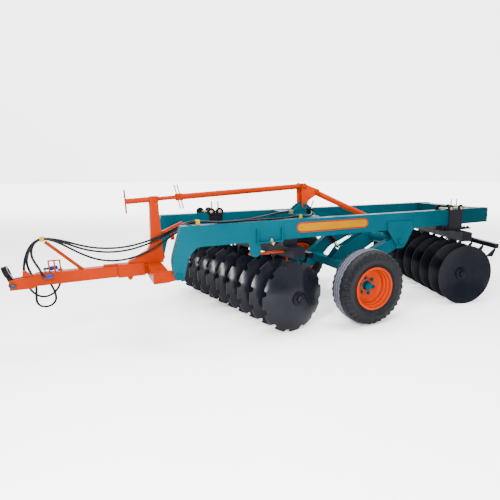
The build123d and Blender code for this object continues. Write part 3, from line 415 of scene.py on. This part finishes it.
# Painted shade: the near rail and the rear beam darken towards the rear; between which x in millimetres,
# and the share of the colour that is left at the dark end
PAINTED_SHADE_DARK_X = -1650
PAINTED_SHADE_FULL_X = -600
PAINTED_SHADE_SHARE = 0.5
RAIL_PAINTED_SHADE = (at(PAINTED_SHADE_DARK_X, 0, 0).x, at(PAINTED_SHADE_FULL_X, 0, 0).x, PAINTED_SHADE_SHARE)
MATERIALS = {
    "teal": paint("teal_paint", TEAL),
    # Teal with painted shade, darker towards the rear
    "rail_teal": paint("teal_paint_with_painted_shade", TEAL, fade_and_painted_shade=RAIL_PAINTED_SHADE),
    "orange": paint("orange_paint", ORANGE),
    "bright_orange": paint("orange_paint_with_painted_light", ORANGE_WITH_PAINTED_LIGHT),
    "yellow": paint("yellow_paint", (0.24, 0.15, 0.004)),
    "dark": paint("dark_paint", (0.0026, 0.0028, 0.0048), roughness=0.36, coat=0.02, shine=0.05, dust=0.02),
    "black": paint("black_paint", (0.0024, 0.0024, 0.0034), roughness=0.25, coat=0.03, shine=0.04),
    "steel": metal("zinc_plate", (0.26, 0.21, 0.12), roughness=0.4),
    "dull_steel": metal("dull_steel", (0.03, 0.033, 0.042), roughness=0.45),
    "chrome": metal("hard_chrome", (0.82, 0.82, 0.84), roughness=0.08, streak=30.0),
    "tyre": rubber("tyre_rubber", (0.005, 0.005, 0.0075), roughness=0.55),
    "hose": rubber("hose_rubber", (0.0016, 0.0017, 0.0026), roughness=0.38, grain=400.0, strength=0.12),
    "blue": paint("blue_cap", (0.003, 0.02, 0.13), roughness=0.3, coat=0.2, edge=0.002),
}
WELD_SHADE = 0.9
WELD_PAINT = {
    "teal": paint("teal_weld", shade(TEAL, WELD_SHADE), roughness=0.3, peel=0.5),
    "orange": paint("orange_weld", shade(ORANGE, WELD_SHADE), roughness=0.3, peel=0.5),
}
# Materials that differ from the one of the piece's slot
SHADES = {
    # The near rail and the rear beam take the teal with painted shade
    "rail_left": "rail_teal",
    "rear_beam": "rail_teal",
    # Rims, rocker and rear strut: the orange with painted light
    "rim_left": "bright_orange",
    "rim_right": "bright_orange",
    "rocker": "bright_orange",
    "rear_strut": "bright_orange",
    "front_scraper_bar": "dark",
    "hitch_bolt": "dull_steel",
    "couplers": "dull_steel",
}
# Gangs: near disc's x and y in millimetres and angle in degrees; side that the discs bulge to
GANGS = {"front": (750, 643, 11.3), "rear": (-1309, 884, -15.2)}
BULGES = {"front": 1, "rear": -1}
GANG_Z = 340
DISC_GLOSS = {"front": 0.17, "rear": 0.04}
# Badge: its middle in millimetres, and half its length and height in metres
BADGE_MIDDLE = (247, 0, 979)
BADGE_HALF_LENGTH = 0.41
BADGE_HALF_HEIGHT = 0.048
slots = {row["node"]: row["material_slot"] for row in frame["record"]["subparts"]}


def dress(obj, material):
    """One material on the whole object, in place of those it has."""
    obj.data.materials.clear()
    obj.data.materials.append(material)


def repaint(node_name, material):
    """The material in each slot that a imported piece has."""
    for place in nodes[node_name].material_slots:
        place.material = material


for name, obj in nodes.items():
    slot_name = slots.get(name)
    if slot_name in MATERIALS:
        if len(obj.material_slots) == 0:
            obj.data.materials.append(MATERIALS[slot_name])
        repaint(name, MATERIALS[slot_name])
for name, shade_name in SHADES.items():
    repaint(name, MATERIALS[shade_name])
for side, (x, y, angle) in GANGS.items():
    gloss_black = disc_material(f"{side}_disc_black", at(x, y, GANG_Z), angle, DISC_GLOSS[side])
    repaint(f"{side}_discs", gloss_black)
repaint("badge", badge_material("badge_enamel", at(*BADGE_MIDDLE), BADGE_HALF_LENGTH, BADGE_HALF_HEIGHT))


# Pieces
def link(name, data, body, material):
    """New object in the scene that rides on a body and stands in a material slot."""
    obj = bpy.data.objects.new(name, data)
    bpy.context.scene.collection.objects.link(obj)
    dress(obj, material)
    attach(obj, body)
    return obj


def hose(name):
    """Smooth tube along a hose's route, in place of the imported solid."""
    length, far_end, body, lay = HOSE_FACTS[name]
    points = ROUTES[name]
    curve = bpy.data.curves.new(name + "_line", "CURVE")
    curve.dimensions = "3D"
    curve.bevel_depth = HOSE_R / 1000
    curve.bevel_resolution = 4
    curve.use_fill_caps = True
    curve.resolution_u = 8
    spline = curve.splines.new("NURBS")
    spline.points.add(len(points) - 1)
    for control, point in zip(spline.points, points):
        control.co = (*at(*point), 1.0)
    spline.order_u = 3
    spline.use_endpoint_u = True
    obj = link(name + "_tube", curve, body, MATERIALS["hose"])
    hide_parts(name)


for name in ROUTES:
    hose(name)


def mesh_piece(name, make, body, slot_name, material=None, smooth=35.0):
    """Mesh object whose bmesh the function fills in, with its edges kept sharp over an angle."""
    bm = bmesh.new()
    make(bm)
    bmesh.ops.recalc_face_normals(bm, faces=bm.faces)
    data = bpy.data.meshes.new(name + "_mesh")
    bm.to_mesh(data)
    bm.free()
    for polygon in data.polygons:
        polygon.use_smooth = True
    data.set_sharp_from_angle(angle=math.radians(smooth))
    return link(name, data, body, material or MATERIALS[slot_name])


def turned(bm, profile, matrix, segments=24, closed=False, shape=None):
    """Profile of (radius, height) points turned about Z, then placed; shape may move each point."""
    rings = []
    for index in range(segments):
        angle = 2 * math.pi * index / segments
        ring = []
        for number, (radius, height) in enumerate(profile):
            if shape is not None:
                radius, height = shape(index, number, radius, height)
            point = Vector((radius * math.cos(angle), radius * math.sin(angle), height))
            ring.append(bm.verts.new(matrix @ point))
        rings.append(ring)
    count = len(profile)
    for index in range(segments):
        here = rings[index]
        there = rings[(index + 1) % segments]
        for number in range(count if closed else count - 1):
            after = (number + 1) % count
            bm.faces.new((here[number], there[number], there[after], here[after]))
    if not closed:
        bm.faces.new([ring[0] for ring in rings])
        bm.faces.new([ring[-1] for ring in rings][::-1])


def facing(point, direction, turn=0.0):
    """Matrix that puts Z along a direction at a point."""
    way = Vector(direction).normalized()
    spin = Matrix.Rotation(turn, 4, "Z")
    return Matrix.Translation(point) @ way.to_track_quat("Z", "Y").to_matrix().to_4x4() @ spin


# Nuts. Radii are shares of the width across the flats, edges of the part's height, chamfers of its
# radius; the washer's chamfer is metres
WASHER_RADIUS = 0.92
WASHER_CHAMFER = 0.001
STUD_RADIUS = 0.29
WASHER_EDGE = 0.7
NUT_EDGE = 0.82
NUT_SINK = 0.95
STUD_EDGE = 0.8
CHAMFER = {"nut": 0.88, "stud": 0.8}
# Radians that each nut of a row is turned by from the one before it
NUT_TURN = 0.37


def nut(bm, point, direction, across=0.024, height=0.012, washer=0.003, stud=0.006, turn=0.0):
    """Washer, chamfered hexagon nut and the stud's end through it."""
    place = facing(point, direction, turn)
    corner = across / 2 / math.cos(math.pi / 6)
    if washer > 0:
        ring = across * WASHER_RADIUS
        turned(bm, [(ring, 0), (ring, washer * WASHER_EDGE), (ring - WASHER_CHAMFER, washer)], place, 20)
    base = place @ Matrix.Translation((0, 0, washer))
    turned(bm, [(corner, 0), (corner, height * NUT_EDGE), (corner * CHAMFER["nut"], height)], base, 6)
    if stud > 0:
        stud_r = across * STUD_RADIUS
        top = place @ Matrix.Translation((0, 0, washer + height * NUT_SINK))
        turned(bm, [(stud_r, 0), (stud_r, stud * STUD_EDGE), (stud_r * CHAMFER["stud"], stud)], top, 12)


def bolts(name, rows, body, slot_name, material=None, **sizes):
    """One piece of nuts, one at each row's point and facing its direction; sizes are metres."""
    def make(bm):
        for number, (point, direction) in enumerate(rows):
            nut(bm, point, direction, turn=number * NUT_TURN, **sizes)

    mesh_piece(name, make, body, slot_name, material)


# Tyres, in metres: zigzag grooves between the ribs and notched shoulders
TYRE_SEGMENTS = 70
TYRE_PROFILE = [
    (0.2025, -0.108), (0.2175, -0.1085), (0.288, -0.1345), (0.355, -0.1195), (0.3675, -0.098),
    (0.3695, -0.062), (0.3595, -0.054), (0.3750, -0.046), (0.3755, -0.025), (0.3610, -0.0175),
    (0.3765, -0.010), (0.3765, 0.010), (0.3610, 0.0175), (0.3755, 0.025), (0.3750, 0.046),
    (0.3595, 0.054), (0.3695, 0.062), (0.3675, 0.098), (0.355, 0.1195), (0.288, 0.1345),
    (0.2175, 0.1085),
]
# Points of the profile that move from one segment to the next, and by how much
RIB_POINTS = range(5, 17)
ZIGZAG = 0.006
SHOULDER_POINTS = (3, 18)
SHOULDER_NOTCH = 0.016
SHOULDER_WIDTH = 0.955
CROWN_POINTS = (4, 17)
CROWN_NOTCH = 0.012


def tread(index, number, radius, height):
    """Ribs that go to and fro, and a notch in each shoulder at every second segment."""
    odd = index % 2
    if number in RIB_POINTS:
        height += ZIGZAG if odd else -ZIGZAG
    if odd and number in SHOULDER_POINTS:
        radius -= SHOULDER_NOTCH
        height *= SHOULDER_WIDTH
    if odd and number in CROWN_POINTS:
        radius -= CROWN_NOTCH
    return radius, height


# Tyre material, in metres: radii of the sidewall's ridges and the bead's rings, and the rib tops with a
# painted highlight
RIDGES_AROUND = 105.0
RIDGE_ZONE = ((0.298, 0.0), (0.306, 1.0), (0.352, 1.0), (0.360, 0.0))
RING_RATE = 900.0
RING_ZONE = ((0.222, 0.0), (0.226, 0.5), (0.244, 0.5), (0.250, 0.0))
RIB_HIGHLIGHT_RADIUS = ((0.3705, 0.0), (0.3740, 0.9))
RIB_HIGHLIGHT_WIDTH = ((0.054, 1.0), (0.058, 0.0))
RIDGE_HEIGHT = 0.0055
TYRE_BLOOM_SCALE = 12.0
TYRE_GRAIN_SCALE = 220.0
TYRE_DARK = (0.0022, 0.0025, 0.0036)
TYRE_PALE = (0.0048, 0.0053, 0.0074)
TYRE_RIB_HIGHLIGHT = (0.062, 0.065, 0.084, 1.0)


def tyre_material():
    """Dark sidewall with radial ridges and bead rings, and a painted highlight on the tops of the middle
    ribs.
    """
    material, tree, shader = new_material("tyre_tread_rubber")
    place = object_place(tree)
    parts = split(tree, place)
    radius = distance_from_y(tree, parts)
    turn = maths(tree, "ARCTAN2", parts["Z"], parts["X"])
    ridge = maths(tree, "SINE", maths(tree, "MULTIPLY", turn, RIDGES_AROUND))
    ridges = maths(tree, "MULTIPLY", ridge, grey_ramp(tree, radius, RIDGE_ZONE))
    ring = maths(tree, "SINE", maths(tree, "MULTIPLY", radius, RING_RATE))
    rings = maths(tree, "MULTIPLY", ring, grey_ramp(tree, radius, RING_ZONE))
    height = maths(tree, "ADD", ridges, rings)
    bloom = noise(tree, place, TYRE_BLOOM_SCALE, detail=6.0, roughness=0.6)
    base = ramp(tree, bloom, [(0.35, TYRE_DARK), (0.75, TYRE_PALE)])
    # Painted highlight: a paler colour on the tops of the middle ribs
    middle = grey_ramp(tree, maths(tree, "ABSOLUTE", parts["Y"]), RIB_HIGHLIGHT_WIDTH)
    rib_highlight = maths(tree, "MULTIPLY", grey_ramp(tree, radius, RIB_HIGHLIGHT_RADIUS), middle)
    grain = noise(tree, place, TYRE_GRAIN_SCALE, detail=4.0)
    surface(
        tree,
        shader,
        mixed(tree, rib_highlight, base, TYRE_RIB_HIGHLIGHT),
        grey_ramp(tree, bloom, [(0.3, 0.42), (0.7, 0.62)]),
        bump(tree, grain, 0.12, GRAIN_HEIGHT, bump(tree, height, 0.8, RIDGE_HEIGHT)),
        Specular_IOR_Level=0.1,
    )
    return material


# Wheel nuts on the rim's disc, in metres and radians; the disc lies inward of the wheel's middle
WHEEL_NUTS = 6
WHEEL_NUT_CIRCLE = 0.086
WHEEL_NUT_INSET = 0.0265
WHEEL_NUT_TURN = 0.3

tyre_rubber = tyre_material()
for side, sign in (("left", 1), ("right", -1)):
    centre = at(0, sign * WHEEL_Y, WHEEL_R)

    def make_tyre(bm):
        # the turned shape's Z becomes the wheel's Y
        lay = Matrix.Rotation(-math.pi / 2, 4, "X")
        turned(bm, TYRE_PROFILE, lay, TYRE_SEGMENTS, closed=True, shape=tread)

    tyre = mesh_piece(f"tyre_{side}_tread", make_tyre, f"wheel_{side}", "tyre", tyre_rubber, smooth=28.0)
    tyre.location = centre
    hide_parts(f"tyre_{side}")
    wheel_nuts = []
    for index in range(WHEEL_NUTS):
        angle = 2 * math.pi * index / WHEEL_NUTS + WHEEL_NUT_TURN
        out = WHEEL_NUT_CIRCLE * math.cos(angle)
        up = WHEEL_NUT_CIRCLE * math.sin(angle)
        wheel_nuts.append((centre + Vector((out, -sign * WHEEL_NUT_INSET, up)), (0, sign, 0)))
    nut_sizes = dict(across=0.026, height=0.014, stud=0.010)
    bolts(f"wheel_nuts_{side}", wheel_nuts, f"wheel_{side}", "teal", **nut_sizes)

# Nuts and bolt heads. One row per lot: name, body, slot, sizes in metres, and in millimetres where each
# one sits, with the way it faces. A look is a material other than the slot's
NEAR = (0, 1, 0)
FAR = (0, -1, 0)
UP = (0, 0, 1)
DOWN = (0, 0, -1)
EAR_Z = 1072
CLAMP_SKEW = 88
BASE_BOLT_Z = 828
CLAMP_EARS = [((x, 572, EAR_Z), NEAR) for x in (-1506, -1342)]
CLAMP_EARS += [((x + CLAMP_SKEW, 448, EAR_Z), FAR) for x in (-1506, -1342)]
CLAMP_EARS += [((x, -448, EAR_Z), NEAR) for x in (1098, 1190)]
CLAMP_EARS += [((x + CLAMP_SKEW, -572, EAR_Z), FAR) for x in (1098, 1190)]
BASE_BOLTS = [((x, y, BASE_BOLT_Z), UP) for x in (-1580, -1640, -1290) for y in (434, 578)]
BASE_BOLTS += [((x, y, BASE_BOLT_Z), UP) for x in (1032, 1286) for y in (-434, -578)]
ROCKER_PINS = ((325, 1343), (170, 1280))
LEVER_PINS = ((-740, 885), (-170, 610))
LOTS = [
    dict(
        name="clamp_nuts", body="frame", slot="steel", rows=CLAMP_EARS,
        sizes=dict(across=0.034, height=0.014, washer=0.0, stud=0.006),
    ),
    dict(
        name="clamp_base_bolts", body="frame", slot="dark", rows=BASE_BOLTS,
        sizes=dict(across=0.030, height=0.014, washer=0.003, stud=0.008),
    ),
    dict(
        name="angle_bracket_bolts", body="frame", slot="steel",
        sizes=dict(across=0.026, height=0.014, washer=0.004, stud=0.010),
        rows=[((920, 575, 878), UP), ((905, 575, 866), DOWN), ((1085, 531, 780), UP)],
    ),
    dict(
        name="pivot_nuts", body="frame", slot="teal",
        sizes=dict(across=0.058, height=0.016, washer=0.003, stud=0.0),
        rows=[((-590, 576, 745), NEAR), ((-590, -576, 745), FAR)],
    ),
    dict(
        name="hinge_bolts", body="frame", slot="teal",
        sizes=dict(across=0.022, height=0.009, washer=0.002, stud=0.0),
        rows=[((1743, 568, 650), NEAR), ((1743, -568, 650), FAR)],
    ),
    dict(
        name="hitch_nuts", body="drawbar", slot="steel", look="dull_steel",
        sizes=dict(across=0.030, height=0.007, washer=0.0, stud=0.003),
        rows=[((2922, 61, 606), NEAR), ((2922, -61, 606), FAR)],
    ),
    dict(
        name="sleeve_bolts", body="drawbar", slot="orange",
        sizes=dict(across=0.036, height=0.022, washer=0.004, stud=0.012),
        rows=[((2072, 20, 575), DOWN), ((2072, -20, 575), DOWN)],
    ),
    dict(
        name="mast_nuts", body="drawbar", slot="orange",
        sizes=dict(across=0.030, height=0.008, washer=0.0, stud=0.003),
        rows=[((1811, 48, 1254), NEAR), ((1811, -48, 1254), FAR)],
    ),
    dict(
        name="rocker_nuts", body="rocker", slot="orange",
        sizes=dict(across=0.036, height=0.013, washer=0.003, stud=0.0),
        rows=[((x, side * 69, z), (0, side, 0)) for x, z in ROCKER_PINS for side in (1, -1)],
    ),
    dict(
        name="tower_nuts", body="frame", slot="teal",
        sizes=dict(across=0.030, height=0.006, washer=0.0, stud=0.003),
        rows=[((320, side * 77.3, 1140), (0, side, 0)) for side in (1, -1)],
    ),
    dict(
        name="axle_lever_nuts", body="axle", slot="teal",
        sizes=dict(across=0.036, height=0.010, washer=0.003, stud=0.0),
        rows=[((x, side * 66, z), (0, side, 0)) for x, z in LEVER_PINS for side in (1, -1)],
    ),
]
for lot in LOTS:
    places = [(at(*point), way) for point, way in lot["rows"]]
    look = MATERIALS[lot.get("look", lot["slot"])]
    bolts(lot["name"], places, lot["body"], lot["slot"], look, **lot["sizes"])


# Gangs, in the gang's own millimetres: end nuts on the shafts, bearing bolts, hanger bolts on the beams
DISCS = 10
SPACING = 225
DISH = 84
DISC_PLATE = 6
END_WASHER = 14
HANGER_SPACES = (1, 4, 7)
BEARING_CIRCLE = 61
BEARING_FACE = 45
HANGER_X = -46
HANGER_REACH = 34
HANGER_BOLT_Z = 814
SHAFT_NUT = dict(across=0.076, height=0.036, washer=0.002, stud=0.010)
BEARING_BOLT = dict(across=0.018, height=0.009, washer=0.002, stud=0.004)
HANGER_BOLT = dict(across=0.024, height=0.012, washer=0.003, stud=0.012)


def gang_rows(name, rows):
    """Rows given in the gang's own millimetres, as points and directions in the frame."""
    x, y, angle = GANGS[name]
    place = Matrix.Translation(at(x, y, 0)) @ Matrix.Rotation(math.radians(angle), 4, "Z")
    turn = place.to_3x3()
    return [(place @ (Vector(point) / 1000), turn @ Vector(way)) for point, way in rows]


for name, bulge in BULGES.items():
    flat = DISH if bulge > 0 else -DISH - DISC_PLATE
    near_face = flat + DISC_PLATE + END_WASHER
    far_face = -(DISCS - 1) * SPACING + flat - END_WASHER
    ends = [((0, near_face, GANG_Z), NEAR), ((0, far_face, GANG_Z), FAR)]
    bearing = []
    through = []
    for space in HANGER_SPACES:
        middle = -(space + 0.5) * SPACING + bulge * DISH / 2
        for side in (1, -1):
            for step in range(4):
                spot = math.radians(45 + 90 * step)
                out = BEARING_CIRCLE * math.cos(spot)
                up = BEARING_CIRCLE * math.sin(spot)
                bearing.append(((out, middle + side * BEARING_FACE, GANG_Z + up), (0, side, 0)))
            for along in (-HANGER_REACH, HANGER_REACH):
                through.append(((HANGER_X + along, middle + side * HANGER_REACH, HANGER_BOLT_Z), UP))
    bolts(f"{name}_shaft_nuts", gang_rows(name, ends), f"{name}_gang", "dark", **SHAFT_NUT)
    bolts(f"{name}_bearing_bolts", gang_rows(name, bearing), "frame", "dark", **BEARING_BOLT)
    bolts(f"{name}_hanger_bolts", gang_rows(name, through), "frame", "dark", **HANGER_BOLT)


# Weld beads along the joints of the welded pieces: radius and step in metres, ripple as shares of radius
BEAD_RADIUS = 0.0045
BEAD_STEP = 0.008
BEAD_RIPPLE = (0.9, 1.08)


def bead(bm, start, end):
    """Rippled bead from one point to the other."""
    way = end - start
    count = max(4, round(way.length / BEAD_STEP))
    profile = []
    for index in range(count + 1):
        profile.append((BEAD_RADIUS * BEAD_RIPPLE[index % 2], way.length * index / count))
    turned(bm, profile, facing(start, way), segments=8)


def welds(name, rows, body, slot_name):
    """One piece of beads; each row is a bead's two ends in millimetres."""
    def make(bm):
        for start, end in rows:
            bead(bm, at(*start), at(*end))

    mesh_piece(name, make, body, slot_name, WELD_PAINT[slot_name], smooth=60.0)


def both(rows):
    """Rows and their mirror images on the other side."""
    flipped = [tuple((x, -y, z) for x, y, z in row) for row in rows]
    return list(rows) + flipped


beam_corners = []
for x_low, x_high in ((330, 480), (-1905, -1755)):
    beam_corners.append(((x_low, 460, 1058), (x_high, 460, 1058)))
    beam_corners += [((x, 460, 880), (x, 460, 1057)) for x in (x_low, x_high)]
tower_feet = [((332, 52, 1058), (478, 52, 1058)), ((332, 40, 1058), (478, 40, 1058))]
plate_edges = [
    ((-412, 560, 970), (-758, 560, 965)),
    ((-412, 560, 968), (-418, 560, 880)),
    ((-761, 560, 963), (-774, 560, 880)),
]
welds("frame_welds", both(beam_corners + tower_feet + plate_edges), "frame", "teal")
drawbar_joints = [
    ((1932, 45, 585), (1932, 45, 678)),
    ((1950, 53, 578), (1950, 53, 688)),
    ((2165, 53, 577), (2165, 53, 689)),
    ((1786, 38, 680), (1930, 38, 680)),
    ((1934, 38, 691), (2070, 38, 691)),
    ((1806, 431, 590), (1806, 431, 680)),
    ((2168, 26, 683), (2273, 26, 683)),
]
sleeve_edges = [((x, -50, 691), (x, 50, 691)) for x in (1950, 2165)]
welds("drawbar_welds", both(drawbar_joints) + sleeve_edges, "drawbar", "orange")
arm_joints = [
    ((-115, 468, 507), (-25, 468, 507)),
    ((-25, 468, 420), (-25, 468, 506)),
    ((-115, 468, 420), (-115, 468, 506)),
]
lever_joints = [((-112, y, 507), (-72, y, 507)) for y in (52, 66)]
welds("axle_welds", both(arm_joints + lever_joints), "axle", "teal")

# Floor, in metres. Far behind the harrow it glows a little, so that it meets the backdrop without a line
FLOOR_RADIUS = 60.0
FLOOR_SCALE = 1.5
FLOOR_GREYS = ((0.3, 0.93), (0.7, 0.95))
FLOOR_WAY = (-0.503, -0.864, 0.0)
GLOW_SPAN = (4.0, 12.0)
GLOW = 2.3
floor_mesh = bpy.data.meshes.new("floor_mesh")
bm = bmesh.new()
bmesh.ops.create_circle(bm, cap_ends=True, segments=96, radius=FLOOR_RADIUS)
bm.to_mesh(floor_mesh)
bm.free()
floor = bpy.data.objects.new("floor", floor_mesh)
bpy.context.scene.collection.objects.link(floor)
floor_material, floor_tree, floor_shader = new_material("studio_floor")
floor_place = object_place(floor_tree)
mottle = grey_ramp(floor_tree, noise(floor_tree, floor_place, FLOOR_SCALE), FLOOR_GREYS)
floor_tree.links.new(mottle, floor_shader.inputs["Base Color"])
reach = vector_maths(floor_tree, "DOT_PRODUCT", floor_place, FLOOR_WAY).outputs["Value"]
glow = ranged(floor_tree, reach, GLOW_SPAN, (0.0, GLOW), "SMOOTHSTEP")
floor_tree.links.new(glow, floor_shader.inputs["Emission Strength"])
floor_shader.inputs["Emission Color"].default_value = (1.0, 1.0, 1.0, 1.0)
floor_shader.inputs["Roughness"].default_value = 0.9
dress(floor, floor_material)

# Backdrop, brighter high up on the far side
SKY_WAY = (-0.42, -0.72, 0.55)
SKY_SPAN = (-0.5, 0.75)
SKY_STRENGTH = (0.7, 4.6)
world = bpy.data.worlds.new("studio")
world.use_nodes = True
sky = world.node_tree
sky_place = add(sky, "ShaderNodeTexCoord").outputs["Generated"]
sky_side = vector_maths(sky, "DOT_PRODUCT", sky_place, SKY_WAY).outputs["Value"]
strength = ranged(sky, sky_side, SKY_SPAN, SKY_STRENGTH)
sky.links.new(strength, sky.nodes["Background"].inputs["Strength"])
sky.nodes["Background"].inputs["Color"].default_value = (1.0, 1.0, 1.0, 1.0)
bpy.context.scene.world = world


def area_light(name, place, target, size, power):
    """Lamp at one point aimed at another, both in millimetres; size in metres, power in watts."""
    data = bpy.data.lights.new(name, "AREA")
    data.shape = "RECTANGLE"
    data.size, data.size_y = size
    data.energy = power
    obj = bpy.data.objects.new(name, data)
    obj.location = at(*place)
    obj.rotation_euler = (at(*target) - at(*place)).to_track_quat("-Z", "Y").to_euler()
    bpy.context.scene.collection.objects.link(obj)


area_light("key", (3400, 3000, 2900), target=(1000, 300, 700), size=(0.7, 1.4), power=330.0)
area_light("strip", (2000, 6200, 1900), target=(200, 0, 500), size=(0.42, 2.7), power=600.0)
area_light("top", (700, 400, 4600), target=(300, 0, 700), size=(4.0, 0.7), power=330.0)
